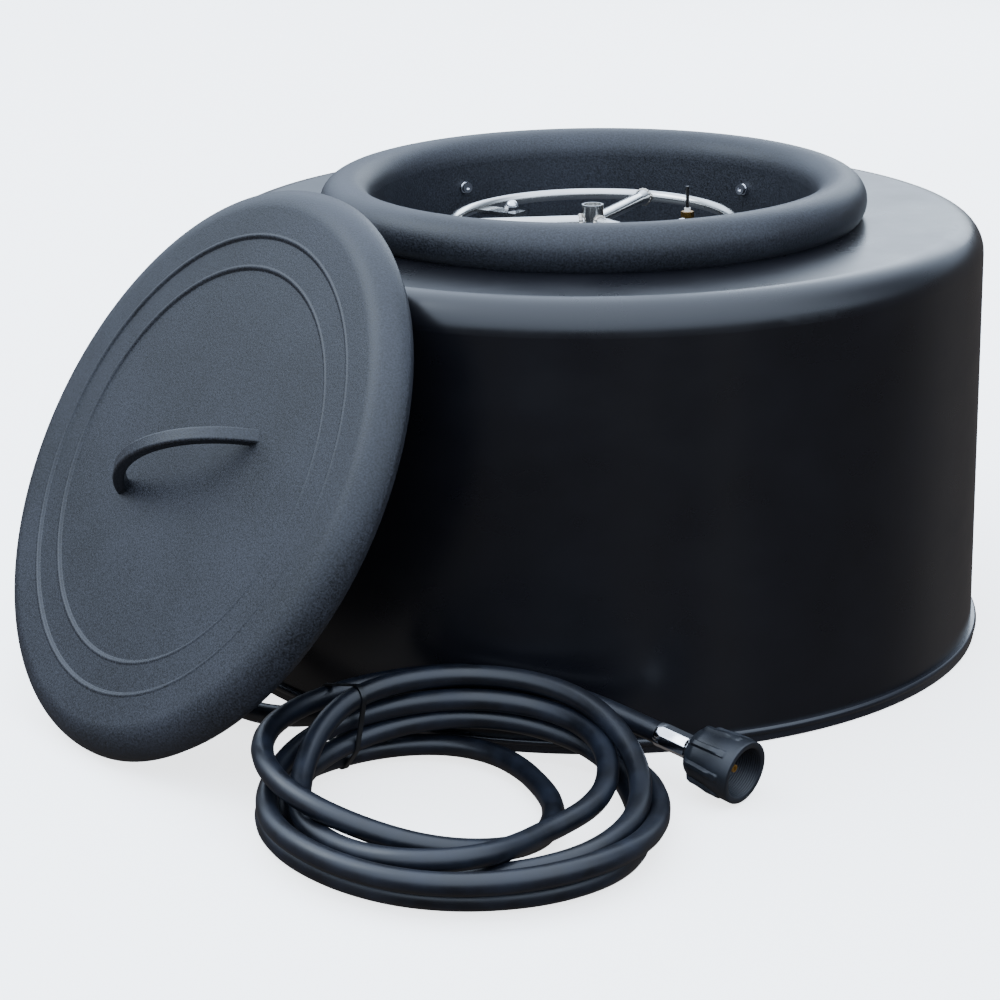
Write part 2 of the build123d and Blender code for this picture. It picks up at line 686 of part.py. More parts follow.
with BuildPart() as lid_shell:
    with BuildSketch(lid_section):
        with BuildLine():
            lid_skin(0, lid_edge_r, lid_r, -lid_depth)
            lid_skin(-lid_sheet, lid_edge_r - lid_sheet, lid_r - lid_sheet, -lid_depth)
            Line((0, -len(lid_step_r) * lid_step), (0, -len(lid_step_r) * lid_step - lid_sheet))
            Line((lid_r - lid_hem_in, -lid_depth), (lid_r - lid_sheet - lid_hem_in, -lid_depth))
        make_face()
    revolve(axis=lid_axis)
    with BuildSketch(lid_plane.offset(-20)):
        with PolarLocations(handle_half_span, 2, start_angle=handle_turn):
            Circle(2.6)
    extrude(amount=20, mode=Mode.SUBTRACT)
save(lid_shell.part, "lid_shell")

# Handle: a square bar bent to a shallow bow, its ends cut flush with the lid's recessed middle
handle_foot_y = -len(lid_step_r) * lid_step + 0.05
handle_plane = Plane(origin=lid_centre + lid_normal * handle_foot_y,
                     x_dir=lid_level * cos(radians(handle_turn)) + lid_up * sin(radians(handle_turn)),
                     z_dir=(lid_level * cos(radians(handle_turn)) + lid_up * sin(radians(handle_turn)))
                     .cross(lid_normal))
bow_rise = handle_rise - handle_foot_y
bow_r = (handle_half_span ** 2 + bow_rise ** 2) / (2 * bow_rise)
bow_half = degrees(asin(handle_half_span / bow_r)) + 8
with BuildPart() as lid_handle:
    with BuildLine(handle_plane) as bow:
        CenterArc((0, bow_rise - bow_r), bow_r, 90 - bow_half, 2 * bow_half)
    with BuildSketch(Plane(origin=bow.line @ 0, x_dir=lid_normal.cross(handle_plane.x_dir), z_dir=bow.line % 0)):
        RectangleRounded(11.0, 9.0, 2.0)
    sweep()
    with BuildSketch(lid_plane.offset(handle_foot_y)):
        Circle(150)
    extrude(amount=-40, mode=Mode.SUBTRACT)
    with BuildSketch(lid_plane.offset(handle_foot_y)):
        with PolarLocations(handle_half_span, 2, start_angle=handle_turn):
            Circle(2.45)
    extrude(amount=3.8, mode=Mode.SUBTRACT)
save(lid_handle.part, "lid_handle")

with BuildPart() as lid_screws:
    with BuildSketch(lid_plane.offset(handle_foot_y - lid_sheet - 3.4)):
        with PolarLocations(handle_half_span, 2, start_angle=handle_turn):
            Circle(4.6)
    extrude(amount=2.6)
    with BuildSketch(lid_plane.offset(handle_foot_y - lid_sheet - 1)):
        with PolarLocations(handle_half_span, 2, start_angle=handle_turn):
            Circle(2.4)
    extrude(amount=5.3)
save(lid_screws.part, "lid_screws")

with BuildPart() as lid_washers:
    with BuildSketch(lid_plane.offset(handle_foot_y - lid_sheet - 0.75)):
        with PolarLocations(handle_half_span, 2, start_angle=handle_turn):
            Circle(6.5)
        with PolarLocations(handle_half_span, 2, start_angle=handle_turn):
            Circle(2.55, mode=Mode.SUBTRACT)
    extrude(amount=0.65)
save(lid_washers.part, "lid_washers")

connector_dir = (Vector(cos(radians(connector_angle)), sin(radians(connector_angle)), 0)
                 * cos(radians(connector_dip)) - Vector(0, 0, sin(radians(connector_dip))))


def connector_plane(along):
    """A plane square to the tank connector's axis, a distance along it from its start."""
    return Plane(origin=connector_start + connector_dir * along, z_dir=connector_dir)


# Hose coil: the outer shape of the loose turns, high at the back where they lean on the drum
with BuildPart() as hose_coil:
    with BuildSketch():
        with BuildLine():
            Spline((-97, -300), (25, -322), (58, -400), (50, -480), (4, -554), (-85, -590), (-190, -540),
                   (-241, -440), (-240, -360), (-190, -300), periodic=True)
        make_face()
        with Locations((-112, -412)):
            Ellipse(62, 76, mode=Mode.SUBTRACT)
    extrude(amount=76)
    with BuildSketch(Plane.YZ.offset(-300)):
        with BuildLine():
            Polyline((-200, 0), (-200, 73), (-335, 73), (-380, 50), (-440, 40), (-600, 34), (-600, 0), (-200, 0))
        make_face()
    extrude(amount=400, mode=Mode.INTERSECT)
    Cylinder(foot_r + 0.6, 400, mode=Mode.SUBTRACT)
    with BuildSketch(connector_plane(-2)):
        Circle(10.0)
    extrude(amount=60, mode=Mode.SUBTRACT)
    with BuildSketch(connector_plane(wheel_back - 2)):
        Circle(wheel_r + 1.5)
    extrude(amount=60, mode=Mode.SUBTRACT)
save(hose_coil.part, "hose_coil")

# Cable tie round the back of the coil
tie_angle = radians(-38.0)
tie_out = Vector(sin(tie_angle), cos(tie_angle), 0)
tie_centre = Vector(coil_x, coil_y, 35.6) + tie_out * 134
with BuildPart() as hose_tie:
    with BuildSketch(Plane(origin=tie_centre, x_dir=tie_out, z_dir=tie_out.cross(Vector(0, 0, 1)))):
        RectangleRounded(62, 70, 12)
        RectangleRounded(59.6, 67.6, 11, mode=Mode.SUBTRACT)
    extrude(amount=2.0, both=True)
save(hose_tie.part, "hose_tie")


def hose_tube(name, points):
    """A stretch of hose as straight runs and tangent arcs, each arc as large as its runs allow."""
    radii = []
    for before, corner, after in zip(points, points[1:], points[2:]):
        run = min((corner - before).length, (after - corner).length)
        turn = (corner - before).get_angle(after - corner)
        radii.append(0.45 * run / tan(radians(turn) / 2))
    print(name, "arc radii", [round(radius, 1) for radius in radii])
    with BuildPart() as tube:
        with BuildLine() as route:
            FilletPolyline(*points, radius=radii)
        with BuildSketch(Plane(origin=route.line @ 0, z_dir=route.line % 0)):
            Circle(hose_r)
        sweep()
    print(name, "length", round(route.wires()[0].length, 1), "volume ratio",
          round(tube.part.volume / (route.wires()[0].length * pi * hose_r ** 2), 4))
    save(tube.part, name)



# Tank end of the hose: from inside the ferrule back to the top of the coil
hose_tube("hose_tank_end", [
    connector_start + connector_dir * 12, connector_start - connector_dir * 26,
    Vector(-10, -317.5, 47), Vector(-45, -312.5, 54), Vector(-75, -306, 58)])

# Drum end of the hose: from the inlet's ferrule, along the drum's foot, up into the coil
hose_tube("hose_drum_end", [
    elbow + inlet_fore * 46, elbow + inlet_fore * 80, Vector(-300, -192, 21), Vector(-272, -236, 10.5),
    Vector(-232, -262, 10.5), Vector(-190, -278, 20), Vector(-150, -293, 33)])


# Tank ferrule: chrome crimp sleeve
with BuildPart() as tank_ferrule:
    with BuildSketch(connector_plane(0)):
        Circle(8.9)
        Circle(hose_r, mode=Mode.SUBTRACT)
    extrude(amount=12)
    with BuildSketch(connector_plane(12)):
        Circle(8.9)
    extrude(amount=20.5)
    with BuildSketch(connector_plane(30)):
        Circle(4.6)
    extrude(amount=4, mode=Mode.SUBTRACT)
save(tank_ferrule.part, "tank_ferrule")

# Tank nipple: brass stem with the collar that holds the handwheel, and a slim nose
wheel_floor = wheel_back + 11
with BuildPart() as tank_nipple:
    with BuildSketch(connector_plane(30)):
        Circle(4.6)
    extrude(amount=wheel_back - 30)
    with BuildSketch(connector_plane(wheel_back - 0.5)):
        Circle(6.0)
    extrude(amount=13)
    with BuildSketch(connector_plane(wheel_floor + 0.3)):
        Circle(9.0)
    extrude(amount=4)
    with BuildSketch(connector_plane(wheel_floor + 4)):
        Circle(5.4)
    extrude(amount=10)
    with BuildSketch(connector_plane(wheel_floor + 14)):
        Circle(3.6)
    extrude(amount=8, taper=6)
    with BuildSketch(connector_plane(31)):
        Circle(1.8)
    extrude(amount=60, mode=Mode.SUBTRACT)
save(tank_nipple.part, "tank_nipple")

# Handwheel: ribbed nut, open at its mouth, that spins on the nipple behind its collar
rib_count = 8
with BuildPart() as tank_handwheel:
    with BuildSketch(connector_plane(wheel_back)):
        Circle(17.0)
    with BuildSketch(connector_plane(wheel_back + 8)):
        Circle(21.0)
    loft()
    with BuildSketch(connector_plane(wheel_back + 8)):
        Circle(21.0)
    extrude(amount=wheel_len - 8)
    with BuildSketch(connector_plane(wheel_back + 5)):
        with PolarLocations(20.8, rib_count):
            RectangleRounded(5.6, 9.0, 1.5)
    extrude(amount=wheel_len - 5)
    with BuildSketch(connector_plane(wheel_back + wheel_len - 4)):
        Circle(wheel_r - 0.4)
    extrude(amount=4)
    with BuildSketch(connector_plane(wheel_floor)):
        Circle(18.4)
    extrude(amount=wheel_len, mode=Mode.SUBTRACT)
    with BuildSketch(connector_plane(wheel_back - 1)):
        Circle(6.05)
    extrude(amount=20, mode=Mode.SUBTRACT)
save(tank_handwheel.part, "tank_handwheel")
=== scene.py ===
"""Portable round gas fire pit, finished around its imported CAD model.

Metres, +Z up, the drum's axis through the origin, the front towards -Y.
"""
from math import cos, pi, radians, sin

import bmesh
import bpy
import numpy as np
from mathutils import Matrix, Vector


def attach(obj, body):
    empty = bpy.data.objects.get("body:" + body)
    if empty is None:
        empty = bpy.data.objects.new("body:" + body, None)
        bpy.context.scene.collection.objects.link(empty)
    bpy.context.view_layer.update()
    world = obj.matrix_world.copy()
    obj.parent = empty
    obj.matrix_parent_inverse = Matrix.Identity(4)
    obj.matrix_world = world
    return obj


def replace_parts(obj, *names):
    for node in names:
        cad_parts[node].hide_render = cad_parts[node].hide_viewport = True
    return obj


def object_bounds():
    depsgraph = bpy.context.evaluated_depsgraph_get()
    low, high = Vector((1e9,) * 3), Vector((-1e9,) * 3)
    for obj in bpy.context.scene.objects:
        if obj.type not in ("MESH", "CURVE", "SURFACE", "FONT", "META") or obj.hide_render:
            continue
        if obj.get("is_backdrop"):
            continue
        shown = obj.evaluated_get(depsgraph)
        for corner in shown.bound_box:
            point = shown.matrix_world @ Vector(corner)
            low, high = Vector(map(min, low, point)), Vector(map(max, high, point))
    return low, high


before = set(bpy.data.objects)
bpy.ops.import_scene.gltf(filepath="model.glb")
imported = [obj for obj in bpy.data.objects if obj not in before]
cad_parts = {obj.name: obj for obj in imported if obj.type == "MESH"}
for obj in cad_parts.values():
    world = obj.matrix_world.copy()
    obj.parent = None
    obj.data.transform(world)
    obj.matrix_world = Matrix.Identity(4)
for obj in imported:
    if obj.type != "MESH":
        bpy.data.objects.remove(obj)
cad_size = [[float(x) for x in corner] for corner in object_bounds()]


# Studio corner: a seamless pale floor under an open overcast sky, seen from standing height.
# The floor is matt painted board, lit from below so that it stays white round black paint.
# The sky is bright overhead and falls to a dark skyline, which is what gloss paint mirrors.
floor_half = 14.0
floor_paint = "#f4f4f3"
sky_high = (3.0, 3.5, 4.3)
sky_low = (1.95, 2.35, 2.95)
surround = (0.130, 0.122, 0.120)
# Each band of sky: azimuth from the front and half width in degrees, then strength
ground_glow = ((38.5, 4.5, 0.30), (12.0, 12.0, 0.09), (-66.0, 34.0, 0.16), (122.0, 26.0, 0.10))
tree_shade = ((110.0, 52.0, 0.85), (-104.0, 48.0, 0.62))
lamp_tint = (0.78, 0.89, 1.0)
# Each lamp: name, place, width in metres, power in watts
lamps = (("cloud_left", (-2.6, 0.2, 2.6), 2.2, 66), ("cloud_back", (1.1, 3.2, 1.45), 1.8, 26))


def linear(hex_colour, alpha=1.0):
    """An sRGB hex colour as linear RGBA."""
    c = np.array([int(hex_colour[i:i + 2], 16) for i in (1, 3, 5)]) / 255
    c = np.where(c <= 0.04045, c / 12.92, ((c + 0.055) / 1.055) ** 2.4)
    return (*c.tolist(), alpha)


def node(tree, kind, settings=None, links=None):
    """Add a shader node, set its sockets or properties, and link sockets from the outputs given."""
    made = tree.nodes.new(kind)
    for key, value in (settings or {}).items():
        if isinstance(key, int) or key in made.inputs:
            made.inputs[key].default_value = value
        else:
            setattr(made, key, value)
    for key, source in (links or {}).items():
        tree.links.new(source, made.inputs[key])
    return made


def blank(name):
    """An empty node material and its tree."""
    material = bpy.data.materials.new(name)
    material.use_nodes = True
    material.node_tree.nodes.clear()
    return material, material.node_tree


def surface(name, grids, body=None, material=None, sharp=None):
    """One mesh from grids of points, each (points, close_rows, close_columns).

    Neighbouring grid points become quads, a closed direction joins its last line to its first,
    points that coincide are merged, and the faces are turned outwards.
    """
    vertices, faces, start = [], [], 0
    for points, close_rows, close_columns in grids:
        rows, columns = points.shape[:2]
        r = np.arange(rows if close_rows else rows - 1)[:, None]
        c = np.arange(columns if close_columns else columns - 1)[None, :]
        r1, c1 = (r + 1) % rows, (c + 1) % columns
        quads = np.stack([r * columns + c, r1 * columns + c, r1 * columns + c1, r * columns + c1], -1)
        faces.append(quads.reshape(-1, 4) + start)
        vertices.append(points.reshape(-1, 3))
        start += rows * columns
    mesh = bpy.data.meshes.new(name)
    mesh.from_pydata(np.concatenate(vertices).tolist(), [], np.concatenate(faces).tolist())
    work = bmesh.new()
    work.from_mesh(mesh)
    bmesh.ops.remove_doubles(work, verts=work.verts, dist=2e-6)
    bmesh.ops.dissolve_degenerate(work, edges=work.edges, dist=1e-7)
    bmesh.ops.recalc_face_normals(work, faces=work.faces)
    work.to_mesh(mesh)
    work.free()
    mesh.shade_smooth()
    if sharp:
        mesh.set_sharp_from_angle(angle=radians(sharp))
    piece = bpy.data.objects.new(name, mesh)
    bpy.context.scene.collection.objects.link(piece)
    if material:
        mesh.materials.append(material)
    if body:
        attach(piece, body)
    return piece


board, tree = blank("floor_board_matt_paint")
shade = node(tree, "ShaderNodeBsdfPrincipled",
             {"Base Color": linear(floor_paint), "Roughness": 0.9, "Specular IOR Level": 0.1,
              "Emission Color": (0.96, 0.98, 1.0, 1.0), "Emission Strength": 2.4})
node(tree, "ShaderNodeOutputMaterial", links={"Surface": shade.outputs[0]})
side = np.linspace(-floor_half, floor_half, 9)
floor_grid = np.stack([*np.meshgrid(side, side, indexing="ij"), np.full((9, 9), -0.0006)], -1)
floor = surface("floor", [(floor_grid, False, False)], material=board)
board.cycles.emission_sampling = "NONE"
floor.visible_glossy = floor.visible_diffuse = False
floor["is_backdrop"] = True

sky = bpy.data.worlds.new("overcast_sky")
bpy.context.scene.world = sky
sky.use_nodes = True
tree = sky.node_tree
tree.nodes.clear()
way = node(tree, "ShaderNodeSeparateXYZ",
           links={0: node(tree, "ShaderNodeTexCoord").outputs["Generated"]})
skyline = node(tree, "ShaderNodeMapRange", {"interpolation_type": "SMOOTHSTEP", 1: 0.10, 2: 0.30},
               {0: way.outputs["Z"]})
height = node(tree, "ShaderNodeMapRange", {1: 0.3, 2: 1.0}, {0: way.outputs["Z"]})
overhead = node(tree, "ShaderNodeMix", {"data_type": "RGBA", 6: (*sky_low, 1), 7: (*sky_high, 1)},
                {0: height.outputs[0]})
turn = node(tree, "ShaderNodeMath", {"operation": "MULTIPLY", 1: -1.0}, {0: way.outputs["Y"]})
turn = node(tree, "ShaderNodeMath", {"operation": "ARCTAN2"}, {0: way.outputs["X"], 1: turn.outputs[0]})


def bands(rows):
    """Sum of soft upright bands, each its strength at its azimuth and falling in an S to 0 at its half width."""
    total = None
    for azimuth, half_width, strength in rows:
        off = node(tree, "ShaderNodeMath", {"operation": "SUBTRACT", 1: radians(azimuth)}, {0: turn.outputs[0]})
        off = node(tree, "ShaderNodeMath", {"operation": "ABSOLUTE"}, {0: off.outputs[0]})
        band = node(tree, "ShaderNodeMapRange",
                    {"interpolation_type": "SMOOTHSTEP", 1: radians(half_width), 2: 0.0, 3: 0.0, 4: strength},
                    {0: off.outputs[0]})
        total = band if total is None else node(tree, "ShaderNodeMath", {"operation": "ADD"},
                                                {0: total.outputs[0], 1: band.outputs[0]})
    return total


glow = bands(ground_glow)
trees = bands(tree_shade)
low = node(tree, "ShaderNodeMapRange", {"interpolation_type": "SMOOTHSTEP", 1: 0.95, 2: 0.58},
           {0: way.outputs["Z"]})
trees = node(tree, "ShaderNodeMath", {"operation": "MULTIPLY"}, {0: trees.outputs[0], 1: low.outputs[0]})
open_sky = node(tree, "ShaderNodeMath", {"operation": "SUBTRACT", 0: 1.0}, {1: trees.outputs[0]})
overhead = node(tree, "ShaderNodeMix", {"data_type": "RGBA", "blend_type": "MULTIPLY", 0: 1.0},
                {6: overhead.outputs[2], 7: open_sky.outputs[0]})
ground = node(tree, "ShaderNodeMix", {"data_type": "RGBA", "blend_type": "ADD", 0: 1.0, 6: (*surround, 1)},
              {7: glow.outputs[0]})
dome = node(tree, "ShaderNodeMix", {"data_type": "RGBA"},
            {0: skyline.outputs[0], 6: ground.outputs[2], 7: overhead.outputs[2]})
dome = node(tree, "ShaderNodeBackground", {"Strength": 1.0}, {"Color": dome.outputs[2]})
node(tree, "ShaderNodeOutputWorld", links={"Surface": dome.outputs[0]})

for name, place, size, power in lamps:
    lamp = bpy.data.lights.new(name, "AREA")
    lamp.shape, lamp.size, lamp.energy, lamp.color = "DISK", size, power, lamp_tint
    lamp = bpy.data.objects.new(name, lamp)
    lamp.location = place
    lamp.rotation_euler = (-lamp.location).to_track_quat("-Z", "Y").to_euler()
    bpy.context.scene.collection.objects.link(lamp)

camera = bpy.data.cameras.new("camera")
camera.lens, camera.sensor_width, camera.clip_start = 105.11, 36.0, 0.05
camera = bpy.data.objects.new("camera", camera)
camera.location = (0.0, -2.2615, 0.8018)
camera.rotation_euler = (radians(72.68), radians(0.755), radians(1.690))
bpy.context.scene.collection.objects.link(camera)
bpy.context.scene.camera = camera


# Drum: one deep-drawn steel cover with a rounded shoulder, on a rolled foot bead.
# Stoved black gloss enamel: a deep, even black that mirrors softly, with faint orange peel
# left by the spray and fine dulling where it has been handled.
def enamel(name, colour, dull_colour, low, high):
    """Gloss enamel: orange peel 5 mm across and 20 microns high, over broad dull clouds."""
    made, tree = blank(name)
    where = node(tree, "ShaderNodeTexCoord").outputs["Object"]
    clouds = node(tree, "ShaderNodeTexNoise", {"Scale": 14.0, "Detail": 4.0, "Roughness": 0.6},
                  {"Vector": where})
    wipe = node(tree, "ShaderNodeMapping", {"Scale": (6.0, 6.0, 12.0)}, {"Vector": where})
    wipe = node(tree, "ShaderNodeTexNoise", {"Scale": 3.0, "Detail": 5.0}, {"Vector": wipe.outputs[0]})
    mixed = node(tree, "ShaderNodeMath", {"operation": "MULTIPLY"}, {0: clouds.outputs[0], 1: wipe.outputs[0]})
    gloss = node(tree, "ShaderNodeMapRange", {1: 0.12, 2: 0.42, 3: low, 4: high}, {0: mixed.outputs[0]})
    tint = node(tree, "ShaderNodeMix", {"data_type": "RGBA", 6: linear(colour), 7: linear(dull_colour)},
                {0: clouds.outputs[0]})
    peel = node(tree, "ShaderNodeTexNoise", {"Scale": 200.0, "Detail": 1.0}, {"Vector": where})
    grain = node(tree, "ShaderNodeTexNoise", {"Scale": 1100.0, "Detail": 2.0}, {"Vector": where})
    relief = node(tree, "ShaderNodeBump", {"Strength": 0.35, "Distance": 0.00002}, {"Height": peel.outputs[0]})
    relief = node(tree, "ShaderNodeBump", {"Strength": 0.25, "Distance": 0.00002},
                  {"Height": grain.outputs[0], "Normal": relief.outputs[0]})
    shade = node(tree, "ShaderNodeBsdfPrincipled", {"IOR": 1.5},
                 {"Base Color": tint.outputs[2], "Roughness": gloss.outputs[0], "Normal": relief.outputs[0]})
    node(tree, "ShaderNodeOutputMaterial", links={"Surface": shade.outputs[0]})
    return made


def dress(material, *names):
    """Give CAD nodes their finish through their material slots."""
    for name in names:
        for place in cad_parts[name].material_slots:
            place.material = material


drum_enamel = enamel("stoved_black_gloss_enamel", "#0b0b0e", "#111116", 0.26, 0.34)
dress(drum_enamel, "drum_shell")
dress(enamel("rolled_foot_enamel", "#15161a", "#202127", 0.18, 0.30), "foot_rim")


# Base plate, its brackets and screws, and the tabs under the drum's top: pressed steel sheet,
# zinc plated, which gives a cool grey with faint crystals a few millimetres across.
def plated(name, colour, shadow, roughness, crystal):
    """Zinc plate: cells of slightly different grey and shine, `crystal` metres across."""
    made, tree = blank(name)
    where = node(tree, "ShaderNodeTexCoord").outputs["Object"]
    cells = node(tree, "ShaderNodeTexVoronoi", {"Scale": 1 / crystal}, {"Vector": where})
    haze = node(tree, "ShaderNodeTexNoise", {"Scale": 90.0, "Detail": 4.0}, {"Vector": where})
    pick = node(tree, "ShaderNodeSeparateColor", links={0: cells.outputs["Color"]})
    blend = node(tree, "ShaderNodeMath", {"operation": "MULTIPLY"}, {0: pick.outputs[0], 1: haze.outputs[0]})
    tint = node(tree, "ShaderNodeMix", {"data_type": "RGBA", 6: linear(colour), 7: linear(shadow)},
                {0: blend.outputs[0]})
    gloss = node(tree, "ShaderNodeMapRange", {1: 0.0, 2: 1.0, 3: roughness - 0.07, 4: roughness + 0.1},
                 {0: haze.outputs[0]})
    relief = node(tree, "ShaderNodeBump", {"Strength": 0.2, "Distance": 0.00003}, {"Height": haze.outputs[0]})
    shade = node(tree, "ShaderNodeBsdfPrincipled", {"Metallic": 1.0},
                 {"Base Color": tint.outputs[2], "Roughness": gloss.outputs[0], "Normal": relief.outputs[0]})
    node(tree, "ShaderNodeOutputMaterial", links={"Surface": shade.outputs[0]})
    return made


zinc = plated("zinc_plated_steel", "#b4b6b8", "#7e8286", 0.36, 0.006)
dress(zinc, "base_plate", "base_brackets", "base_screws", "bowl_brackets", "bowl_nuts", "stud_nuts",
      "mixer_locknut", "igniter_spring", "lid_screws", "lid_washers")


# Fire bowl and its loose floor: steel with a fat rolled rim, in heat-proof powder coat.
# Fine-textured matte powder: a slate grey skin of tiny beads that scatters light evenly and
# turns lighter at a glancing angle. Real beads are about 0.5 mm; they are drawn larger to show.
def powder(name, colour, highlight_and_cloud_colour, bead=0.0014):
    """Textured powder coat: beads `bead` metres across and 0.2 mm high, with a painted highlight that makes each
    bead's top lighter, over random cloudy tone.
    """
    made, tree = blank(name)
    where = node(tree, "ShaderNodeTexCoord").outputs["Object"]
    beads = node(tree, "ShaderNodeTexNoise", {"Scale": 1 / bead, "Detail": 2.0, "Roughness": 0.6},
                 {"Vector": where})
    clouds = node(tree, "ShaderNodeTexNoise", {"Scale": 9.0, "Detail": 3.0}, {"Vector": where})
    # Painted highlight: the higher part of each bead gets the lighter colour, as if lit from above.
    bead_top_highlight = node(tree, "ShaderNodeMapRange", {1: 0.3, 2: 0.7, 3: 0.0, 4: 0.8}, {0: beads.outputs[0]})
    cloud = node(tree, "ShaderNodeMapRange", {1: 0.35, 2: 0.65, 3: -0.12, 4: 0.12}, {0: clouds.outputs[0]})
    fade = node(tree, "ShaderNodeMath", {"operation": "ADD", "use_clamp": True},
                {0: bead_top_highlight.outputs[0], 1: cloud.outputs[0]})
    # The colour runs from the dark powder to the lighter one by the painted bead highlight plus random cloud
    # tone.
    tint = node(tree, "ShaderNodeMix", {"data_type": "RGBA", 6: linear(colour), 7: linear(highlight_and_cloud_colour)},
                {0: fade.outputs[0]})
    gloss = node(tree, "ShaderNodeMapRange", {1: 0.3, 2: 0.7, 3: 0.40, 4: 0.54}, {0: beads.outputs[0]})
    relief = node(tree, "ShaderNodeBump", {"Strength": 0.8, "Distance": 0.00022}, {"Height": beads.outputs[0]})
    shade = node(tree, "ShaderNodeBsdfPrincipled", {"IOR": 1.5, "Specular IOR Level": 0.38},
                 {"Base Color": tint.outputs[2], "Roughness": gloss.outputs[0], "Normal": relief.outputs[0]})
    node(tree, "ShaderNodeOutputMaterial", links={"Surface": shade.outputs[0]})
    return made


slate_powder = powder("slate_textured_powder_coat", "#101113", "#36383f")
dress(slate_powder, "fire_bowl", "bowl_floor")


# Burner: a ring, hub and arms of polished stainless tube on three studs, welded at each joint.
# Polished stainless mirrors the sky in long highlights, broken by fine draw lines.
def polished(name, colour, streak_colour, roughness, line=0.0004):
    """Polished metal: draw lines `line` metres apart that vary its shine and lean the normal a little."""
    made, tree = blank(name)
    where = node(tree, "ShaderNodeTexCoord").outputs["Object"]
    lines = node(tree, "ShaderNodeTexNoise", {"Scale": 1 / line, "Detail": 2.0, "Distortion": 0.4},
                 {"Vector": where})
    stain = node(tree, "ShaderNodeTexNoise", {"Scale": 45.0, "Detail": 4.0}, {"Vector": where})
    tint = node(tree, "ShaderNodeMix", {"data_type": "RGBA", 6: linear(colour), 7: linear(streak_colour)},
                {0: stain.outputs[0]})
    gloss = node(tree, "ShaderNodeMapRange", {1: 0.3, 2: 0.7, 3: roughness * 0.75, 4: roughness * 1.35},
                 {0: stain.outputs[0]})
    relief = node(tree, "ShaderNodeBump", {"Strength": 0.12, "Distance": 0.00002}, {"Height": lines.outputs[0]})
    shade = node(tree, "ShaderNodeBsdfPrincipled", {"Metallic": 1.0},
                 {"Base Color": tint.outputs[2], "Roughness": gloss.outputs[0], "Normal": relief.outputs[0]})
    node(tree, "ShaderNodeOutputMaterial", links={"Surface": shade.outputs[0]})
    return made


stainless = polished("polished_stainless_tube", "#dddbd6", "#c2c1be", 0.17)
dress(stainless, "burner_ring", "burner_hub", "burner_arms", "hub_plug", "burner_tabs", "burner_studs",
      "mixing_tube")
dress(polished("heat_blued_steel_rod", "#4a4744", "#2c2a2b", 0.34), "electrode_rod")
chrome = polished("bright_chrome_plate", "#e6e6e8", "#d8d8dc", 0.10)
dress(chrome, "bowl_screws", "bowl_washers", "acorn_nuts")

arm_angles = (66.5, 186.5, 306.5)
ring_height, hub_radius, weld_reach = 0.3258, 0.0085, 0.1046


def weld_bead(angle, reach, radius, bead, ripples):
    """A rippled weld round a tube: a torus square to the spoke whose bead swells and thins as it goes."""
    turn, tube = np.meshgrid(np.linspace(0, 2 * pi, 72, False), np.linspace(0, 2 * pi, 10, False),
                             indexing="ij")
    swell = bead * (1 + 0.18 * np.cos(ripples * turn) + 0.08 * np.cos(3 * turn))
    across = radius + swell * np.cos(tube)
    along = reach + swell * 1.3 * np.sin(tube)
    out = np.array([cos(radians(angle)), sin(radians(angle)), 0])
    level = np.array([-out[1], out[0], 0])
    return (along[..., None] * out + (across * np.cos(turn))[..., None] * level
            + (across * np.sin(turn) + ring_height)[..., None] * np.array([0, 0, 1]))


welds = [(weld_bead(a, weld_reach - 0.0004, 0.0062, 0.0011, 17), True, True) for a in arm_angles]
welds += [(weld_bead(a, hub_radius + 0.0012, 0.0053, 0.0012, 15), True, True) for a in arm_angles]
weld_steel = polished("weld_bead_stainless", "#cfc8bd", "#9a9287", 0.3, 0.0008)
surface("burner_welds", welds, "drum", weld_steel)


# Gas and spark fittings: turned brass, a glazed ceramic sleeve, and a silicone-covered lead.
# Turned brass is a warm yellow metal with fine tool rings; glaze is smooth and white.
brass = polished("turned_brass", "#c79a4e", "#9c7436", 0.24, 0.0006)
dress(brass, "gas_jet", "electrode_body", "electrode_nut", "inlet_bulkhead", "inlet_elbow",
      "hose_swivel_nut", "inlet_locknut", "valve_stem")
# The tank nipple sits deep in the connector's mouth, in shade; its brass is given a lighter colour than the
# other brass parts, painted light that lifts it out of that shade.
dress(polished("brass_lightened_against_shade", "#f0c878", "#d9a750", 0.38, 0.0006), "tank_nipple")


def moulded(name, colour, worn_colour, roughness, grain, height, ior=1.5):
    """Moulded or glazed skin: a fine tool texture `grain` metres across, over slow changes of shade."""
    made, tree = blank(name)
    where = node(tree, "ShaderNodeTexCoord").outputs["Object"]
    texture = node(tree, "ShaderNodeTexNoise", {"Scale": 1 / grain, "Detail": 2.0}, {"Vector": where})
    wear = node(tree, "ShaderNodeTexNoise", {"Scale": 35.0, "Detail": 5.0, "Roughness": 0.65},
                {"Vector": where})
    worn = node(tree, "ShaderNodeMapRange", {1: 0.4, 2: 0.75}, {0: wear.outputs[0]})
    tint = node(tree, "ShaderNodeMix", {"data_type": "RGBA", 6: linear(colour), 7: linear(worn_colour)},
                {0: worn.outputs[0]})
    gloss = node(tree, "ShaderNodeMapRange", {1: 0.3, 2: 0.7, 3: roughness - 0.05, 4: roughness + 0.08},
                 {0: wear.outputs[0]})
    relief = node(tree, "ShaderNodeBump", {"Strength": 0.3, "Distance": height}, {"Height": texture.outputs[0]})
    shade = node(tree, "ShaderNodeBsdfPrincipled", {"IOR": ior},
                 {"Base Color": tint.outputs[2], "Roughness": gloss.outputs[0], "Normal": relief.outputs[0]})
    node(tree, "ShaderNodeOutputMaterial", links={"Surface": shade.outputs[0]})
    return made


dress(moulded("white_glazed_ceramic", "#e9e5dc", "#cfc8ba", 0.16, 0.004, 0.00002), "electrode_ceramic")
dress(moulded("red_silicone_insulation", "#8a1f12", "#6c180f", 0.42, 0.0015, 0.00005), "ignition_lead")


